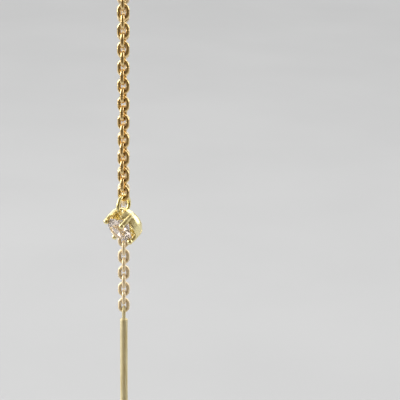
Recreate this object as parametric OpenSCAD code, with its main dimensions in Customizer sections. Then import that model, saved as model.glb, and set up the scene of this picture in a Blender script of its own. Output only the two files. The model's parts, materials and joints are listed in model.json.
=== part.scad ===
// Threader earring: a cable chain that lies over the ear lobe, with a claw-set stone
// at the front end and a plain round bar at the back end.
// Millimetres, Z up. The origin is the top of the chain's bend, where it hangs from the ear.
// X runs across the two strands' plane, and the front strand is on the -Y side.

/* [Chain] */
// Diameter of the links' wire
wire_d = 0.335; // [0.32:0.005:0.36]
// Play between two wires that hook together, the same at every link
link_play = 0.12; // [0.11:0.005:0.14]
// Links in the straight front strand, an even number
front_links = 26; // [16:2:36]
// Links in the straight back strand, an odd number
back_links = 41; // [31:2:61]
// Pairs of links in the bend over the ear lobe, which set its width
bend_pairs = 5; // [4:1:7]
// Turn of the last front link about the strand, clockwise from above, in degrees
end_twist = 23; // [23:1:36]
// Links over which the front strand takes up that turn, counted from the bend
twist_links = 16; // [8:1:16]

/* [Jump ring] */
// Radius of the ring's centre line
jump_r = 0.95; // [0.9:0.05:1.1]
// Diameter of its wire
jump_wire_d = 0.34; // [0.3:0.01:0.36]
// Turn of the ring's plane to the left of the front, in degrees
ring_turn = 36; // [34:1:36]

/* [Stone] */
// Diameter at the girdle
stone_d = 3; // [2.8:0.1:3.1]
// Turn of the stone's face to the left of the front, in degrees
face_turn = 46; // [36:1:47]
// Downward lean of the stone's face, in degrees
face_lean = 31; // [29:1:33]

/* [Setting] */
// Distance from the stone's centre to the middle of a prong's wire
prong_r = 1.6; // [1.55:0.01:1.65]
// Diameter of a prong's wire
prong_d = 0.5; // [0.48:0.01:0.54]
// Depth of the cup's rim behind the girdle
rim_depth = 0.45; // [0.4:0.05:0.6]
// Height of the straight part of the cup's wall, under the rim
cup_straight = 0.6; // [0.45:0.05:0.65]
// Radius of the cup's round part in section
cup_bend_r = 1; // [0.95:0.01:1]
// Thickness of the cup's wall
cup_wall = 0.26; // [0.24:0.02:0.3]
// Radius of the cup's open back
back_hole_r = 1.32; // [1.3:0.01:1.35]
// Width of the notch in the top of the cup, which the jump ring passes through
notch_w = 1.1; // [1.06:0.02:1.14]
// Depth of the notch's bottom behind the girdle
notch_depth = 1.42; // [1.4:0.01:1.45]
// Distance from the stone's axis to the lowest point of the jump ring's centre line
hook_rise = 1.07; // [1.04:0.01:1.08]
// Depth of that point behind the girdle
hook_depth = 1.29; // [1.26:0.01:1.3]

/* [Threader bar] */
// Diameter of the bar
bar_d = 0.8; // [0.7:0.05:0.9]
// Length of the bar, with its round end
bar_length = 22; // [15:1:40]

/* [Hidden] */
$fn = 48;

// A link is two straight sides of this length joined by half rounds of this centre-line radius.
link_bend_r = wire_d + link_play;
link_side = wire_d + link_play;
link_pitch = link_side + link_bend_r;
// Links swing about the centres of the edge-on links' half rounds. Those lie this far apart
// along an edge-on link, and this far apart along a face-on link.
short_step = link_side;
long_step = link_side + 2 * link_bend_r;
// The swing centres in the bend lie on a circle.
bend_angle = 90 / bend_pairs;
half_short = short_step / 2;
half_long = long_step / 2;
lobe_r = sqrt(half_short ^ 2 + half_long ^ 2 + 2 * half_short * half_long * cos(bend_angle))
    / sin(bend_angle);
long_turn = 2 * asin(half_long / lobe_r);

front_y = -lobe_r;
back_y = lobe_r;
last_link_z = -lobe_r - half_short - (front_links - 1) * link_pitch;
jump_top_z = last_link_z - link_side / 2;
jump_z = jump_top_z - jump_r;
drop_pivot_z = jump_z - jump_r;
bar_link_z = -lobe_r - half_long - back_links * link_pitch;
bar_top_z = bar_link_z - link_side / 2 - link_bend_r;

// The stone's proportions are those of a round brilliant.
stone_r = stone_d / 2;
table_r = 0.57 * stone_r;
crown_h = 0.15 * stone_d;
girdle_h = 0.03 * stone_d;
culet_depth = 0.43 * stone_d + girdle_h / 2;
table_h = crown_h + girdle_h / 2;
star_share = 0.5;
lower_half_share = 0.77;
facet_step = 360 / 8;

seat_play = 0.05;
claw_r = 0.29;
claw_inset = 0.05;
claw_h = 0.27;
bend_depth = rim_depth + cup_straight;
cup_out_r = cup_bend_r + cup_wall / 2;
cup_in_r = cup_bend_r - cup_wall / 2;
cup_bend_centre = prong_r - cup_bend_r;
rib_d = 0.42;
rib_out = 0.03;
weld = 0.1;

// Angle along the bend of swing centre k, from 180 at the front to 0 at the back
function bend_at(k) = 180 - floor(k / 2) * 2 * bend_angle - (k % 2) * long_turn;

// Place of swing centre k in the bend
function bend_point(k) = [0, lobe_r * cos(bend_at(k)), lobe_r * (sin(bend_at(k)) - 1)];

// Turn of front link i about the strand
function twist(i) = end_twist * min(1, (i + 1) / twist_links);

// One oval link, long along Z, that shows its hole to the front
module link() {
    for (end = [0, 1])
        mirror([0, 0, end])
            translate([0, 0, link_side / 2])
                rotate([90, 0, 0])
                    rotate_extrude(angle = 180) translate([link_bend_r, 0]) circle(d = wire_d);
    for (side = [-1, 1])
        translate([side * link_bend_r, 0, -link_side / 2]) cylinder(h = link_side, d = wire_d);
}

// Link k of the bend, between swing centres k and k + 1
module bend_link(k) {
    from = bend_point(k);
    to = bend_point(k + 1);
    step = to - from;
    translate((from + to) / 2)
        rotate([-atan2(step.y, step.z), 0, 0])
            rotate([0, 0, k % 2 == 0 ? 0 : 90])
                link();
}

module front_chain() {
    color([0.92, 0.72, 0.42]) {
        for (i = [0 : front_links - 1])
            translate([0, front_y, -lobe_r - half_short - i * link_pitch])
                rotate([0, 0, (i % 2 == 0 ? 90 : 0) - twist(i)])
                    link();
        for (k = [0 : bend_pairs - 1]) bend_link(k);
    }
}

module back_chain() {
    color([0.9, 0.73, 0.45]) {
        for (k = [bend_pairs : 2 * bend_pairs - 1]) bend_link(k);
        for (i = [0 : back_links - 1])
            translate([0, back_y, -lobe_r - half_long - i * link_pitch])
                rotate([0, 0, i % 2 == 0 ? 0 : 90])
                    link();
    }
}

module jump_ring() {
    color([0.95, 0.77, 0.38])
        translate([0, front_y, jump_z])
            rotate([90, 0, 90 - ring_turn])
                rotate_extrude() translate([jump_r, 0]) circle(d = jump_wire_d);
}

// Turns a piece that is drawn with the stone's face up and its centre at the origin
// into its place under the jump ring.
module hang_drop() {
    translate([0, front_y, drop_pivot_z])
        rotate([90 + face_lean, 0, -face_turn])
            translate([0, -hook_rise, hook_depth])
                children();
}

// Notch with a round bottom in the top of the cup
module notch() {
    round_z = notch_w / 2 - notch_depth;
    translate([0, 1.5 * prong_r, 0])
        rotate([90, 0, 0])
            linear_extrude(prong_r) {
                translate([0, round_z]) circle(d = notch_w);
                translate([-notch_w / 2, round_z]) square([notch_w, -round_z]);
            }
}

// Cup behind the stone with a straight wall at its rim, open at its back. The jump ring passes
// in through the notch, under the bridge that is left of the wall, and out at the back.
module cup() {
    difference() {
        rotate_extrude() {
            intersection() {
                translate([cup_bend_centre, -bend_depth])
                    difference() {
                        circle(r = cup_out_r);
                        circle(r = cup_in_r);
                    }
                translate([back_hole_r, -bend_depth - cup_out_r]) square([prong_r, cup_out_r]);
            }
            translate([prong_r - cup_wall / 2, -bend_depth]) square([cup_wall, cup_straight]);
        }
        notch();
    }
}

// One prong: a rib on the cup's wall, a post and a ball over the stone's edge
module prong() {
    translate([prong_r + rib_out, 0, -bend_depth]) {
        sphere(d = rib_d);
        cylinder(h = cup_straight - weld / 2, d = rib_d);
    }
    translate([prong_r, 0, -rim_depth - weld]) cylinder(h = rim_depth + weld + claw_h, d = prong_d);
    translate([prong_r - claw_inset, 0, claw_h]) sphere(r = claw_r);
}

// Room for the stone, a little larger than the stone all round
module seat() {
    edge = stone_r + seat_play;
    rotate_extrude()
        polygon([
            [0, -culet_depth - seat_play],
            [edge, -girdle_h / 2 - seat_play],
            [edge, girdle_h / 2 + seat_play],
            [table_r + seat_play, table_h + seat_play],
            [0, table_h + seat_play],
        ]);
}

module setting() {
    color([0.95, 0.79, 0.42])
        hang_drop()
            difference() {
                union() {
                    cup();
                    for (quarter = [0 : 3]) rotate([0, 0, 45 + 90 * quarter]) prong();
                }
                seat();
            }
}

// Corners of a ring of the stone, turned from the first facet by a share of a facet
function stone_ring(radius, height, count, turn) = [
    for (i = [0 : count - 1])
        let (angle = 360 / count * i + turn)
        [radius * cos(angle), radius * sin(angle), height]
];

// A main facet lies between a corner on its middle line and the girdle. This is its height
// at a corner that lies half a facet step to the side.
function side_corner_z(radius, slope, from_r, from_z) =
    from_z - (radius * cos(facet_step / 2) - from_r) * slope;

module stone() {
    crown_slope = crown_h / (stone_r - table_r);
    pavilion_slope = (girdle_h / 2 - culet_depth) / stone_r;
    star_r = table_r * cos(facet_step / 2) + star_share * (stone_r - table_r * cos(facet_step / 2));
    lower_r = (1 - lower_half_share) * stone_r;
    corners = concat(
        stone_ring(table_r, table_h, 8, 0),
        stone_ring(star_r, side_corner_z(star_r, crown_slope, table_r, table_h), 8, facet_step / 2),
        stone_ring(stone_r, girdle_h / 2, 16, 0),
        stone_ring(stone_r, -girdle_h / 2, 16, 0),
        stone_ring(lower_r, side_corner_z(lower_r, pavilion_slope, 0, -culet_depth), 8, facet_step / 2),
        [[0, 0, -culet_depth]]
    );
    color([0.96, 0.9, 0.9])
        hang_drop()
            hull()
                polyhedron(corners, [for (i = [0 : len(corners) - 3]) [i, i + 1, i + 2]]);
}

// Plain bar with a round lower end, and a chain link soldered to its flat top
module threader_bar() {
    bar_r = bar_d / 2;
    color([0.8, 0.68, 0.38])
        union() {
            translate([0, back_y, bar_top_z - bar_length + bar_r])
                rotate_extrude()
                    intersection() {
                        union() {
                            circle(r = bar_r);
                            square([bar_r, bar_length - bar_r]);
                        }
                        translate([0, -bar_r]) square([bar_r, bar_length]);
                    }
            translate([0, back_y, bar_link_z]) rotate([0, 0, 90]) link();
        }
}

front_chain();
back_chain();
jump_ring();
setting();
stone();
threader_bar();
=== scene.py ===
"""The looks of a threader earring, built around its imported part.

Every piece is drawn in millimetres in the part's own frame and scaled to metres at the end.
"""

import json
import math
import random

import bmesh
import bpy
from mathutils import Matrix, Vector


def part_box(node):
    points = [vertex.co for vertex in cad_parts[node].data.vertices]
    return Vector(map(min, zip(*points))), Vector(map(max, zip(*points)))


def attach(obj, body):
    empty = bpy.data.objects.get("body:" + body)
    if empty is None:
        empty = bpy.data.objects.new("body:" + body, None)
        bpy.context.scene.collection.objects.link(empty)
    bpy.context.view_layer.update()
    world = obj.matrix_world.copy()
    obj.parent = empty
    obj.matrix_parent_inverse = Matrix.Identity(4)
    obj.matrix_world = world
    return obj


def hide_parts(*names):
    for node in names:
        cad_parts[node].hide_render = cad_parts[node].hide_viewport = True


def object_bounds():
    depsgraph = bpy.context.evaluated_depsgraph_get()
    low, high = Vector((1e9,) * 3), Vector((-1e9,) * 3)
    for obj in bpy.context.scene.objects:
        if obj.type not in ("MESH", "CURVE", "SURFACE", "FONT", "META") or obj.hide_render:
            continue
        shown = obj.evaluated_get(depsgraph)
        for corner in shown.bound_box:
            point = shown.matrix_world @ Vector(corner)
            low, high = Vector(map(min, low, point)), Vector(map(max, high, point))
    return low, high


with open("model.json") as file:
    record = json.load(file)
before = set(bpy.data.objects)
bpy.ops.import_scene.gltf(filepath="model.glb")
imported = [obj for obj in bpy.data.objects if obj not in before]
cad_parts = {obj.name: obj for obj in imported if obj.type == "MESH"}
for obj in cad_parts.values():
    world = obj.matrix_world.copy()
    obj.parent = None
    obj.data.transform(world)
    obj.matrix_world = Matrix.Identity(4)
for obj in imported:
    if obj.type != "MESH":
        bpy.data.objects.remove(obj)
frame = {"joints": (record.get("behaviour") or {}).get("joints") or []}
cad_low, cad_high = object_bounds()

MM = 0.001
UP = Vector((0, 0, 1))

# Corners that lie nearer to each other than this merge after a boolean
WELD_GAP = 0.002

# Chain: the counts and turns are the part's own, and the links are drawn pulled taut
FRONT_LINKS = 26
BACK_LINKS = 41
BEND_PAIRS = 5
END_TWIST = 23
TWIST_LINKS = 16
LINK_WIDTH = 1.245
LINK_WIRE = 0.38
LINK_LOOSE_TURN = 3.5
LINK_SIDES = 16
LINK_BEND_STEPS = 14
LINK_SHARP = 60
FRONT_SEED = 3
BACK_SEED = 8
# Seam in a link's straight side: place as a share of the side's length from its middle, and
# swell of the wire
LINK_SEAM = ((-0.22, 1), (-0.1, 1.07), (0.1, 1.07), (0.22, 1))

# Jump ring, with the fine slit where its two ends meet
JUMP_WIRE = 0.37
JUMP_DROP = 0.03
JUMP_SLIT = 0.03
JUMP_SLIT_ANGLE = 205
JUMP_STEPS = 64
JUMP_SIDES = 20
JUMP_SHARP = 50

# Stone: the proportions of a round brilliant
STONE_R = 1.5
TABLE_R = 0.57 * STONE_R
CROWN_H = 0.3 * STONE_R
GIRDLE_H = 0.06 * STONE_R
CULET_DEPTH = 0.86 * STONE_R + GIRDLE_H / 2
STAR_SHARE = 0.5
LOWER_HALF_SHARE = 0.77
FACETS = 8
FACET_STEP = math.tau / FACETS
FACET_FLATNESS = 1
STONE_EDGE = 0.008

# Setting, drawn with the stone's face up and its centre at the origin
FACE_TURN = 46
FACE_LEAN = 31
HOOK_RISE = 1.07
HOOK_DEPTH = 1.29
CUP_BEND_R = 1.0
CUP_BEND_CENTRE = (0.6, -1.05)
CUP_WALL = 0.26
CUP_RIM_H = -0.45
CUP_BASE_ANGLE = -40
CUP_SIDES = 96
CUP_STEPS = 24
CUP_EDGE_STEPS = 8
NOTCH_WIDTH = 1.08
NOTCH_DEPTH = 1.41
NOTCH_STEPS = 24
CLAWS = 4
CLAW_R = 1.61
CLAW_SIDES = 24
# Post, ball and tip of a prong: distance from the stone's axis, height and radius of the wire
CLAW_PROFILE = (
    (CLAW_R, -0.8, 0.24), (CLAW_R, -0.5, 0.255), (CLAW_R, -0.2, 0.255),
    (1.6, 0.0, 0.245), (1.59, 0.08, 0.24),
    (1.58, 0.13, 0.258), (1.57, 0.18, 0.278), (1.56, 0.23, 0.288),
    (1.55, 0.28, 0.29), (1.54, 0.33, 0.283),
    (1.53, 0.39, 0.255), (1.522, 0.45, 0.2), (1.516, 0.495, 0.13), (1.514, 0.52, 0.06),
)
# Where the notch starts and ends, measured from the stone's axis
NOTCH_REACH = (0.5 * CLAW_R, 1.5 * CLAW_R)
RIB_WIRE = 0.42
RIB_OUT = 0.04
RIB_START_ANGLE = -38
RIB_STEPS = 10
RIB_THIN_SHARE = 0.6
RIB_THIN_STEPS = 4
SEAT_PLAY = 0.012
CAST_VOXEL = 0.028
CAST_SMOOTH_STEPS = 4
CAST_KEEP = 0.5
CAST_SHARP = 40

# Threader bar
BAR_R = 0.4
BAR_LENGTH = 22
BAR_EDGE = 0.05
BAR_SIDES = 48
BAR_STEPS = 20
BAR_EDGE_STEPS = 5
BAR_END_STEPS = 12
BAR_SHARP = 50
# Drop of solder on the bar's top: radius and height above it
SOLDER = ((0, 0.19), (0.1, 0.185), (0.17, 0.16), (0.21, 0.11), (0.25, 0.05), (0.29, 0.015))

# Materials. Scales are in features to a millimetre, and lengths in millimetres. A noise texture
# keeps to the middle of its range, and NOISE_RANGE is the part that is spread out.
NOISE_RANGE = (0.35, 0.65)

# Gold plate
PATCH_SCALE = 1.6
PATCH_DEPTH = 0.55
# Painted shade in the gold's hollows: how far ambient occlusion looks, the range it darkens over,
# its samples, and the shares of the deep tone that the hollows darken to
HOLLOW_REACH = 0.25
HOLLOW_RANGE = (0.15, 0.75)
HOLLOW_SAMPLES = 8
PAINTED_SHADE_SHARES = (0.42, 0.36, 0.26)
POLISH_SCALE = 7
POLISH_LOW = 0.75
POLISH_HIGH = 1.3
MARK_SCALE = 22
MARK_HEIGHT = 0.004
MARK_STRENGTH = 0.35
BAR_GRAIN = (1, 1, 0.06)

# Clear stone
STONE_TINTS = ((1, 0.91, 0.82), (1, 0.85, 0.76))
STONE_TINT_SCALE = 1.3
STONE_CLOUD_SCALE = 3
STONE_CLOUD = 0.03
STONE_CLEARNESS = 0.85
STONE_IOR = 1.8

# Photograph: its size, the places of the stone and the strand in it, and its camera
PHOTO_SIZE = 400
FOCAL_PX = 1530
STONE_PX = (120, 231)
STRAND_PX = 124
CAMERA_DISTANCE = 153
CAMERA_PITCH = 17
CAMERA_ROLL = 0.78
CAMERA_REACH = (0.01, 20)
SENSOR = 36

# Floor, with the shade in front that only the gold mirrors
FLOOR_DROP = 30
FLOOR_SIZE = 6000
FLOOR_TONES = ((0.56, 0.572, 0.587), (0.58, 0.592, 0.607))
FLOOR_MOTTLE_SCALE = 0.02
FLOOR_ROUGHNESS = 0.9
FLOOR_SHADE = (0.16, 0.125, 0.075)
FLOOR_SHADE_START = 60
FLOOR_SHADE_END = 110

# Room: pale all round and dark behind the camera. It darkens between two cosines from that way,
# and is as pale as the floor where it is seen straight.
ROOM_TONES = ((0.55, 0.55, 0.55), (0.19, 0.145, 0.08))
ROOM_RANGE = (0.25, 0.62)
ROOM_SEEN = (0.6, 0.6, 0.6)

# Soft boxes: name, place and size in millimetres, power, colour, and spread in degrees. The
# windows spread less than all round, so that their light ends softly on the floor.
WINDOW_COLOUR = (1, 0.985, 0.97)
WINDOW_SPREAD = 110
LIGHTS = (
    ("left_window", (-440, 40, 125), (420, 380), 0.8, WINDOW_COLOUR, WINDOW_SPREAD),
    ("right_window", (440, 80, 125), (320, 380), 0.35, WINDOW_COLOUR, WINDOW_SPREAD),
    ("ceiling", (0, 640, 700), (1200, 1000), 5.9, (1, 1, 1), 180),
)

# Sockets of a mix node that is set to colours
MIX_FIRST = 6
MIX_SECOND = 7
MIX_RESULT = 2


def joint(name):
    """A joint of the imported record, by name."""
    return next(j for j in frame["joints"] if j["name"] == name)


def turned(degrees, axis):
    """Turn about one of the frame's axes."""
    return Matrix.Rotation(math.radians(degrees), 4, axis)


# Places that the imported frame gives, in millimetres
drop_pivot = Vector(joint("drop_swing")["pos_m"]) / MM
bar_pivot = Vector(joint("bar_swing")["pos_m"]) / MM
ring_way = Vector(joint("drop_swing")["axis"]).normalized()
lobe_r = bar_pivot.y
pitch = (-bar_pivot.z - lobe_r) / (BACK_LINKS + 0.5)
short_step = pitch / 2
long_step = 3 * pitch / 2
hang = (
    Matrix.Translation(drop_pivot)
    @ turned(-FACE_TURN, "Z")
    @ turned(90 + FACE_LEAN, "X")
    @ Matrix.Translation((0, -HOOK_RISE, HOOK_DEPTH))
)


def make_object(name, bm, smooth_angle=None):
    """Object with a finished mesh. Edges sharper than smooth_angle stay sharp, or else all do."""
    bmesh.ops.recalc_face_normals(bm, faces=bm.faces)
    mesh = bpy.data.meshes.new(name)
    bm.to_mesh(mesh)
    bm.free()
    thing = bpy.data.objects.new(name, mesh)
    bpy.context.scene.collection.objects.link(thing)
    if smooth_angle is not None:
        mesh.shade_smooth()
        mesh.set_sharp_from_angle(angle=math.radians(smooth_angle))
    return thing


def apply_modifiers(thing):
    """Bakes the object's modifiers into its mesh."""
    graph = bpy.context.evaluated_depsgraph_get()
    mesh = bpy.data.meshes.new_from_object(thing.evaluated_get(graph))
    thing.modifiers.clear()
    old = thing.data
    thing.data = mesh
    bpy.data.meshes.remove(old)


def combine(thing, other, operation):
    """Joins other to thing, or cuts it away, drops other and merges corners that nearly meet."""
    boolean = thing.modifiers.new("combine", "BOOLEAN")
    boolean.operation = operation
    boolean.solver = "EXACT"
    boolean.object = other
    weld = thing.modifiers.new("weld", "WELD")
    weld.merge_threshold = WELD_GAP
    apply_modifiers(thing)
    bpy.data.objects.remove(other)


def finish_piece(thing, body, nodes, material):
    """Scales a piece to metres and sets it in the frame in place of its nodes."""
    thing.data.transform(Matrix.Scale(MM, 4))
    thing.data.materials.clear()
    thing.data.materials.append(material)
    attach(thing, body)
    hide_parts(*nodes)


def add_tube(bm, line, normal, radii, sides, closed=False, place=None):
    """Round tube along a line that lies in the plane with that normal."""
    place = place or Matrix.Identity(4)
    count = len(line)
    rings = []
    for i, (point, radius) in enumerate(zip(line, radii)):
        before = line[i - 1] if closed or i else point
        after = line[(i + 1) % count] if closed or i < count - 1 else point
        out = normal.cross(after - before).normalized()
        ring = []
        for s in range(sides):
            angle = math.tau * s / sides
            spoke = math.cos(angle) * out + math.sin(angle) * normal
            ring.append(bm.verts.new(place @ (point + radius * spoke)))
        rings.append(ring)
    for i in range(count if closed else count - 1):
        ring, following = rings[i], rings[(i + 1) % count]
        for s in range(sides):
            bm.faces.new((ring[s], ring[s - 1], following[s - 1], following[s]))
    if not closed:
        bm.faces.new(rings[0])
        bm.faces.new(reversed(rings[-1]))


def add_lathe(bm, profile, sides, place=None, closed=False):
    """Profile of (radius, height) points turned about Z. A closed profile makes a ring."""
    place = place or Matrix.Identity(4)
    columns = []
    for s in range(sides):
        angle = math.tau * s / sides
        x, y = math.cos(angle), math.sin(angle)
        columns.append([place @ Vector((r * x, r * y, z)) for r, z in profile])
    poles = {i: bm.verts.new(columns[0][i]) for i, (r, z) in enumerate(profile) if r == 0}
    made = [[poles.get(i) or bm.verts.new(p) for i, p in enumerate(column)] for column in columns]
    last = len(profile) if closed else len(profile) - 1
    for s in range(sides):
        for i in range(last):
            k = (i + 1) % len(profile)
            corners = [made[s - 1][i], made[s][i], made[s][k], made[s - 1][k]]
            bm.faces.new(list(dict.fromkeys(corners)))


def arc(centre, radius, start, end, steps):
    """Points of an arc in a plane, in degrees from its first axis."""
    angles = [math.radians(start + (end - start) * i / steps) for i in range(steps + 1)]
    return [(centre[0] + radius * math.cos(a), centre[1] + radius * math.sin(a)) for a in angles]


# Chain

def link_shape():
    """Centre line and wire radii of a link, long along Z, that shows its hole to the front.

    Taut links rest on each other, so a link's hole is as long as the pitch."""
    bend_r = (LINK_WIDTH - LINK_WIRE) / 2
    side = pitch - (2 * bend_r - LINK_WIRE)
    line = []
    for end in (1, -1):
        for x, z in arc((0, side / 2), bend_r, 0, 180, LINK_BEND_STEPS):
            line.append(Vector((end * x, 0, end * z)))
    radii = [LINK_WIRE / 2] * len(line)
    for share, swell in LINK_SEAM:
        line.append(Vector((bend_r, 0, share * side)))
        radii.append(swell * LINK_WIRE / 2)
    return line, radii


def front_link_places():
    """Places of the links from the top of the front strand down to the jump ring."""
    places = []
    for i in range(FRONT_LINKS):
        twist = END_TWIST * min(1, (i + 1) / TWIST_LINKS)
        height = -lobe_r - short_step / 2 - i * pitch
        turn = turned(90 * ((i + 1) % 2) - twist, "Z")
        places.append(Matrix.Translation((0, -lobe_r, height)) @ turn)
    return places


def back_link_places():
    """Places of the links down the back strand."""
    places = []
    for i in range(BACK_LINKS):
        height = -lobe_r - long_step / 2 - i * pitch
        places.append(Matrix.Translation((0, lobe_r, height)) @ turned(90 * (i % 2), "Z"))
    return places


def bend_link_places(first, count):
    """Places of some links in the bend over the ear lobe, counted from the front."""
    pair_turn = 180 / (2 * BEND_PAIRS)
    long_turn = 2 * math.degrees(math.asin(long_step / 2 / lobe_r))

    def swing_centre(k):
        angle = math.radians(180 - k // 2 * 2 * pair_turn - k % 2 * long_turn)
        return Vector((0, lobe_r * math.cos(angle), lobe_r * (math.sin(angle) - 1)))

    places = []
    for k in range(first, first + count):
        start, end = swing_centre(k), swing_centre(k + 1)
        step = end - start
        lean = Matrix.Rotation(-math.atan2(step.y, step.z), 4, "X")
        places.append(Matrix.Translation((start + end) / 2) @ lean @ turned(90 * (k % 2), "Z"))
    return places


def make_chain(name, places, seed):
    """One mesh of taut links, each turned a little about the strand as loose links are."""
    draw = random.Random(seed)
    line, radii = link_shape()
    bm = bmesh.new()
    for place in places:
        loose = turned(draw.uniform(-LINK_LOOSE_TURN, LINK_LOOSE_TURN), "Z")
        flip = turned(draw.choice((0, 180)), "Z")
        add_tube(bm, line, Vector((0, 1, 0)), radii, LINK_SIDES, True, place @ loose @ flip)
    return make_object(name, bm, LINK_SHARP)


def make_jump_ring():
    """Ring of round wire, closed but for its slit."""
    low, high = (Vector(corner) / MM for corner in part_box("jump_ring"))
    radius = (high.z - low.z - JUMP_WIRE) / 2
    centre = (low + high) / 2 - JUMP_DROP * UP
    half_slit = math.degrees(JUMP_SLIT / 2 / radius)
    start, end = JUMP_SLIT_ANGLE + half_slit, JUMP_SLIT_ANGLE + 360 - half_slit
    turns = arc((0, 0), radius, start, end, JUMP_STEPS)
    line = [centre - x * ring_way + z * UP for x, z in turns]
    bm = bmesh.new()
    add_tube(bm, line, UP.cross(ring_way), [JUMP_WIRE / 2] * len(line), JUMP_SIDES)
    return make_object("jump_ring_wire", bm, JUMP_SHARP)


# Stone

def stone_ring(bm, radius, height, count, turn):
    """Corners of one ring of the stone, turned from the first facet."""
    for i in range(count):
        angle = math.tau / count * i + turn
        bm.verts.new((radius * math.cos(angle), radius * math.sin(angle), height))


def side_corner_height(radius, slope, from_r, from_z):
    """Height of a main facet at a corner half a facet step from its middle line."""
    return from_z - (radius * math.cos(FACET_STEP / 2) - from_r) * slope


def stone_hull(play=0.0):
    """Round brilliant with whole facets, or the room for it with some play all round."""
    crown_slope = CROWN_H / (STONE_R - TABLE_R)
    pavilion_slope = (GIRDLE_H / 2 - CULET_DEPTH) / STONE_R
    table_h = CROWN_H + GIRDLE_H / 2
    inner = TABLE_R * math.cos(FACET_STEP / 2)
    star_r = inner + STAR_SHARE * (STONE_R - inner)
    star_h = side_corner_height(star_r, crown_slope, TABLE_R, table_h)
    lower_r = (1 - LOWER_HALF_SHARE) * STONE_R
    lower_h = side_corner_height(lower_r, pavilion_slope, 0, -CULET_DEPTH)
    bm = bmesh.new()
    stone_ring(bm, TABLE_R, table_h, FACETS, 0)
    stone_ring(bm, star_r, star_h, FACETS, FACET_STEP / 2)
    stone_ring(bm, STONE_R, GIRDLE_H / 2, 2 * FACETS, 0)
    stone_ring(bm, STONE_R, -GIRDLE_H / 2, 2 * FACETS, 0)
    stone_ring(bm, lower_r, lower_h, FACETS, FACET_STEP / 2)
    bm.verts.new((0, 0, -CULET_DEPTH))
    bmesh.ops.scale(bm, vec=Vector((1, 1, 1)) * (1 + play / STONE_R), verts=bm.verts)
    bmesh.ops.convex_hull(bm, input=bm.verts)
    flat = math.radians(FACET_FLATNESS)
    bmesh.ops.dissolve_limit(bm, angle_limit=flat, verts=bm.verts, edges=bm.edges)
    return bm


def make_stone():
    """The stone, with its facet edges just broken."""
    bm = stone_hull()
    bmesh.ops.bevel(bm, geom=bm.edges, offset=STONE_EDGE, segments=1, affect="EDGES")
    stone = make_object("brilliant_stone", bm)
    stone.data.transform(hang)
    return stone


# Setting

def add_cup(bm):
    """Cup behind the stone with a straight wall at its rim, an open base and rounded edges."""
    half = CUP_WALL / 2
    middle = arc(CUP_BEND_CENTRE, CUP_BEND_R, 0, CUP_BASE_ANGLE, CUP_STEPS)
    outer = arc(CUP_BEND_CENTRE, CUP_BEND_R + half, 0, CUP_BASE_ANGLE, CUP_STEPS)
    inner = arc(CUP_BEND_CENTRE, CUP_BEND_R - half, CUP_BASE_ANGLE, 0, CUP_STEPS)
    base_edge = arc(middle[-1], half, CUP_BASE_ANGLE, CUP_BASE_ANGLE - 180, CUP_EDGE_STEPS)
    rim_edge = arc((middle[0][0], CUP_RIM_H - half), half, 180, 0, CUP_EDGE_STEPS)
    add_lathe(bm, outer + base_edge[1:-1] + inner + rim_edge, CUP_SIDES, closed=True)


def claw_shape():
    """Centre line and radii of a prong: a rib up the cup, a post and a ball over the stone."""
    line = arc(CUP_BEND_CENTRE, CUP_BEND_R + RIB_OUT, RIB_START_ANGLE, 0, RIB_STEPS)
    radii = []
    for i in range(len(line)):
        full = min(1, i / RIB_THIN_STEPS)
        radii.append(RIB_WIRE / 2 * (RIB_THIN_SHARE + (1 - RIB_THIN_SHARE) * full))
    for r, z, wire_r in CLAW_PROFILE:
        line.append((r, z))
        radii.append(wire_r)
    return line, radii


def add_claws(bm):
    """The prongs, evenly round the cup, with the notch halfway between two of them."""
    shape, radii = claw_shape()
    line = [Vector((r, 0, z)) for r, z in shape]
    for i in range(CLAWS):
        place = turned(360 / CLAWS * (i + 0.5), "Z")
        add_tube(bm, line, Vector((0, 1, 0)), radii, CLAW_SIDES, place=place)


def make_notch():
    """Room for the jump ring in the top of the cup, with a round bottom."""
    half = NOTCH_WIDTH / 2
    outline = arc((0, half - NOTCH_DEPTH), half, 180, 360, NOTCH_STEPS) + [(half, 0), (-half, 0)]
    bm = bmesh.new()
    near, far = ([bm.verts.new((x, y, z)) for x, z in outline] for y in NOTCH_REACH)
    bm.faces.new(near)
    bm.faces.new(reversed(far))
    for i in range(len(outline)):
        bm.faces.new((near[i - 1], near[i], far[i], far[i - 1]))
    return make_object("notch", bm)


def make_setting():
    """Notched cup and prongs cast as one, with the stone's seat cut in the claws."""
    bm = bmesh.new()
    add_cup(bm)
    setting = make_object("claw_setting", bm)
    combine(setting, make_notch(), "DIFFERENCE")
    bm = bmesh.new()
    bm.from_mesh(setting.data)
    add_claws(bm)
    bm.to_mesh(setting.data)
    bm.free()
    remesh = setting.modifiers.new("cast", "REMESH")
    remesh.mode = "VOXEL"
    remesh.voxel_size = CAST_VOXEL
    smooth = setting.modifiers.new("soften", "SMOOTH")
    smooth.iterations = CAST_SMOOTH_STEPS
    thin = setting.modifiers.new("thin", "DECIMATE")
    thin.ratio = CAST_KEEP
    apply_modifiers(setting)
    combine(setting, make_object("seat", stone_hull(SEAT_PLAY)), "DIFFERENCE")
    setting.data.shade_smooth()
    setting.data.set_sharp_from_angle(angle=math.radians(CAST_SHARP))
    setting.data.transform(hang)
    return setting


# Threader bar

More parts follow.
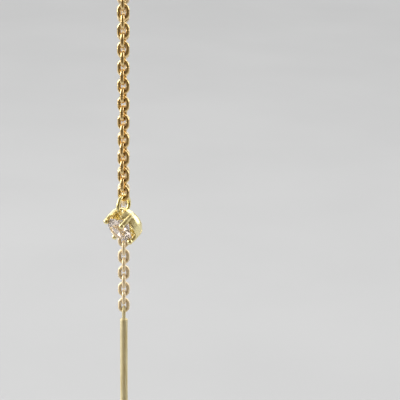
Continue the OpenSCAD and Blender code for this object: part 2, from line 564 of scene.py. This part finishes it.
def make_bar():
    """Drawn bar with a round end, and its link in a drop of solder on the top."""
    top = bar_pivot.z - short_step - pitch / 2
    end = top - BAR_LENGTH
    edge = arc((BAR_R - BAR_EDGE, -BAR_EDGE), BAR_EDGE, 90, 0, BAR_EDGE_STEPS)
    profile = [(r, z + top) for r, z in [*SOLDER, *edge]]
    straight = BAR_LENGTH - BAR_EDGE - BAR_R
    profile += [(BAR_R, top - BAR_EDGE - straight * i / BAR_STEPS) for i in range(1, BAR_STEPS)]
    profile += arc((0, end + BAR_R), BAR_R, 0, -90, BAR_END_STEPS)[:-1] + [(0, end)]
    bm = bmesh.new()
    add_lathe(bm, profile, BAR_SIDES, Matrix.Translation((0, bar_pivot.y, 0)))
    bar = make_object("threader_pin", bm)
    line, radii = link_shape()
    bm = bmesh.new()
    place = Matrix.Translation(bar_pivot - short_step / 2 * UP) @ turned(90, "Z")
    add_tube(bm, line, Vector((0, 1, 0)), radii, LINK_SIDES, True, place)
    combine(bar, make_object("pin_link", bm), "UNION")
    bar.data.shade_smooth()
    bar.data.set_sharp_from_angle(angle=math.radians(BAR_SHARP))
    return bar


# Materials

class Nodes:
    """Short ways to add and link the nodes of a material or a world."""

    def __init__(self, owner, shader="Principled BSDF"):
        owner.use_nodes = True
        self.owner = owner
        self.tree = owner.node_tree
        self.shader = self.tree.nodes[shader]

    def add(self, kind, **values):
        """Adds a node and sets its properties or its inputs by name."""
        node = self.tree.nodes.new(kind)
        for name, value in values.items():
            if name in node.inputs:
                node.inputs[name].default_value = value
            else:
                setattr(node, name, value)
        return node

    def link(self, source, target):
        """Links two sockets."""
        self.tree.links.new(source, target)

    def noise(self, scale, detail, stretch=(1, 1, 1)):
        """Noise over the piece, scale in features to a millimetre."""
        place = self.add("ShaderNodeTexCoord")
        mapping = self.add("ShaderNodeMapping", Scale=[k / MM for k in stretch])
        texture = self.add("ShaderNodeTexNoise", Scale=scale, Detail=detail)
        self.link(place.outputs["Object"], mapping.inputs["Vector"])
        self.link(mapping.outputs["Vector"], texture.inputs["Vector"])
        return texture.outputs["Fac"]

    def spread(self, value, low, high, start=NOISE_RANGE[0], end=NOISE_RANGE[1]):
        """Spreads a value from start to end over low to high."""
        node = self.add("ShaderNodeMapRange")
        limits = {"From Min": start, "From Max": end, "To Min": low, "To Max": high}
        for name, number in limits.items():
            node.inputs[name].default_value = number
        self.link(value, node.inputs["Value"])
        return node.outputs["Result"]

    def mix(self, factor, first, second):
        """Mixes two colours, each a colour or a socket."""
        node = self.add("ShaderNodeMix", data_type="RGBA")
        self.link(factor, node.inputs["Factor"])
        for index, colour in ((MIX_FIRST, first), (MIX_SECOND, second)):
            if isinstance(colour, bpy.types.NodeSocket):
                self.link(colour, node.inputs[index])
            else:
                node.inputs[index].default_value = (*colour, 1)
        return node.outputs[MIX_RESULT]


def gold_material(name, bright, deep, roughness, hollow_shade=0.75, grain=(1, 1, 1)):
    """Polished gold plate: warm patches, painted shade darkening its hollows, with fine polishing
    marks.
    """
    made = Nodes(bpy.data.materials.new(name))
    shader = made.shader
    shader.inputs["Metallic"].default_value = 1
    patches = made.spread(made.noise(PATCH_SCALE, detail=3), 0, PATCH_DEPTH)
    plated = made.mix(patches, bright, deep)
    # Painted shade: the colour darkens to a deeper brown where ambient occlusion finds hollows
    hollow = made.add("ShaderNodeAmbientOcclusion", samples=HOLLOW_SAMPLES)
    hollow.inputs["Distance"].default_value = HOLLOW_REACH * MM
    hollows = made.spread(hollow.outputs["AO"], hollow_shade, 0, *HOLLOW_RANGE)
    painted_shade = tuple(channel * share for channel, share in zip(deep, PAINTED_SHADE_SHARES))
    made.link(made.mix(hollows, plated, painted_shade), shader.inputs["Base Color"])
    polish = made.noise(POLISH_SCALE, detail=4, stretch=grain)
    polish = made.spread(polish, roughness * POLISH_LOW, roughness * POLISH_HIGH)
    made.link(polish, shader.inputs["Roughness"])
    marks = made.add("ShaderNodeBump", Strength=MARK_STRENGTH, Distance=MARK_HEIGHT * MM)
    made.link(made.noise(MARK_SCALE, detail=5, stretch=grain), marks.inputs["Height"])
    made.link(marks.outputs["Normal"], shader.inputs["Normal"])
    return made.owner


def stone_material():
    """Clear stone with a breath of pink and faint cloudy spots on its facets."""
    made = Nodes(bpy.data.materials.new("clear_stone"))
    shader = made.shader
    shader.inputs["Transmission Weight"].default_value = STONE_CLEARNESS
    shader.inputs["IOR"].default_value = STONE_IOR
    patches = made.spread(made.noise(STONE_TINT_SCALE, detail=2), 0, 1)
    made.link(made.mix(patches, *STONE_TINTS), shader.inputs["Base Color"])
    clouds = made.spread(made.noise(STONE_CLOUD_SCALE, detail=3), 0, STONE_CLOUD)
    made.link(clouds, shader.inputs["Roughness"])
    return made.owner


def floor_material():
    """Pale matt floor with hardly visible mottling. Its front lies in the shade of whoever takes
    the photograph, and only the gold's reflections of the floor show that."""
    made = Nodes(bpy.data.materials.new("pale_floor"))
    mottles = made.spread(made.noise(FLOOR_MOTTLE_SCALE, detail=3), 0, 1)
    tone = made.mix(mottles, *FLOOR_TONES)
    place = made.add("ShaderNodeTexCoord")
    parts = made.add("ShaderNodeSeparateXYZ")
    made.link(place.outputs["Object"], parts.inputs["Vector"])
    limits = (-FLOOR_SHADE_START * MM, -FLOOR_SHADE_END * MM)
    front = made.spread(parts.outputs["Y"], 0, 1, *limits)
    path = made.add("ShaderNodeLightPath")
    shade = made.add("ShaderNodeMath", operation="MULTIPLY")
    made.link(front, shade.inputs[0])
    made.link(path.outputs["Is Glossy Ray"], shade.inputs[1])
    shaded = made.mix(shade.outputs["Value"], tone, FLOOR_SHADE)
    made.link(shaded, made.shader.inputs["Base Color"])
    made.shader.inputs["Roughness"].default_value = FLOOR_ROUGHNESS
    return made.owner


# Studio

def make_camera(stone_centre):
    """Camera that sees the stone where the photograph shows it."""
    pitch_angle = math.radians(CAMERA_PITCH)
    aside = math.atan((PHOTO_SIZE / 2 - STRAND_PX) / FOCAL_PX)
    level = Vector((-math.sin(aside), -math.cos(aside), 0))
    back = math.cos(pitch_angle) * level + math.sin(pitch_angle) * UP
    right = UP.cross(back).normalized()
    above = back.cross(right)
    offset = [(k - PHOTO_SIZE / 2) / FOCAL_PX * CAMERA_DISTANCE for k in STONE_PX]
    place = stone_centre - offset[0] * right + offset[1] * above + CAMERA_DISTANCE * back
    data = bpy.data.cameras.new("camera")
    data.sensor_width = SENSOR
    data.lens = SENSOR * FOCAL_PX / PHOTO_SIZE
    data.clip_start, data.clip_end = CAMERA_REACH
    camera = bpy.data.objects.new("camera", data)
    bpy.context.scene.collection.objects.link(camera)
    turn = back.to_track_quat("Z", "Y").to_matrix().to_4x4()
    camera.matrix_world = Matrix.Translation(place * MM) @ turn @ turned(CAMERA_ROLL, "Z")
    bpy.context.scene.camera = camera


def make_floor():
    """Wide pale floor below the hanging earring."""
    half = FLOOR_SIZE / 2 * MM
    bm = bmesh.new()
    corners = [(-half, -half), (half, -half), (half, half), (-half, half)]
    height = cad_low.z - FLOOR_DROP * MM
    bm.faces.new([bm.verts.new((x, y, height)) for x, y in corners])
    floor = make_object("floor", bm)
    floor.data.materials.append(floor_material())


def make_light(name, place, size, power, colour, spread):
    """Soft box that points at the middle of the earring. Place and size are in millimetres."""
    data = bpy.data.lights.new(name, "AREA")
    data.shape = "RECTANGLE"
    data.size, data.size_y = (k * MM for k in size)
    data.energy = power
    data.color = colour
    data.spread = math.radians(spread)
    light = bpy.data.objects.new(name, data)
    bpy.context.scene.collection.objects.link(light)
    target = (cad_low + cad_high) / 2
    light.location = Vector(place) * MM
    light.rotation_euler = (light.location - target).to_track_quat("Z", "Y").to_euler()


def make_world():
    """Pale room that is dark behind the photograph's camera, as reflections in the gold show.
    Seen straight, it is as pale as the floor."""
    world = bpy.data.worlds.new("room")
    bpy.context.scene.world = world
    made = Nodes(world, "Background")
    place = made.add("ShaderNodeTexCoord")
    dot = made.add("ShaderNodeVectorMath", operation="DOT_PRODUCT")
    tilt = math.radians(CAMERA_PITCH)
    dot.inputs[1].default_value = (0, -math.cos(tilt), math.sin(tilt))
    made.link(place.outputs["Generated"], dot.inputs[0])
    ramp = made.add("ShaderNodeValToRGB")
    for element, position, tone in zip(ramp.color_ramp.elements, ROOM_RANGE, ROOM_TONES):
        element.position = position
        element.color = (*tone, 1)
    made.link(dot.outputs["Value"], ramp.inputs["Fac"])
    path = made.add("ShaderNodeLightPath")
    seen = made.mix(path.outputs["Is Camera Ray"], ramp.outputs["Color"], ROOM_SEEN)
    made.link(seen, made.shader.inputs["Color"])


# Golds: bright and deep tone, roughness and how much painted shade darkens the hollows
front_gold = gold_material("front_chain_gold", (0.99, 0.75, 0.37), (0.9, 0.63, 0.27), 0.19)
back_gold = gold_material("back_chain_gold", (1.0, 0.87, 0.63), (0.95, 0.79, 0.53), 0.6)
ring_gold = gold_material("jump_ring_gold", (1.0, 0.89, 0.45), (1.0, 0.84, 0.38), 0.26, 0.15)
cast_gold = gold_material("setting_gold", (1.0, 0.89, 0.49), (1.0, 0.84, 0.41), 0.26, 0.2)
bar_gold = gold_material("bar_gold", (0.86, 0.78, 0.52), (0.8, 0.71, 0.45), 0.75, grain=BAR_GRAIN)

front_places = front_link_places() + bend_link_places(0, BEND_PAIRS)
back_places = bend_link_places(BEND_PAIRS, BEND_PAIRS) + back_link_places()
front = make_chain("front_chain_links", front_places, FRONT_SEED)
back = make_chain("back_chain_links", back_places, BACK_SEED)
finish_piece(front, "root", ["front_chain"], front_gold)
finish_piece(back, "root", ["back_chain"], back_gold)
finish_piece(make_jump_ring(), "root", ["jump_ring"], ring_gold)
finish_piece(make_setting(), "drop", ["setting"], cast_gold)
finish_piece(make_stone(), "drop", ["stone"], stone_material())
finish_piece(make_bar(), "bar", ["threader_bar"], bar_gold)

make_camera(hang @ Vector((0, 0, 0)))
make_floor()
for light in LIGHTS:
    make_light(*light)
make_world()
bpy.context.scene.view_settings.view_transform = "Standard"
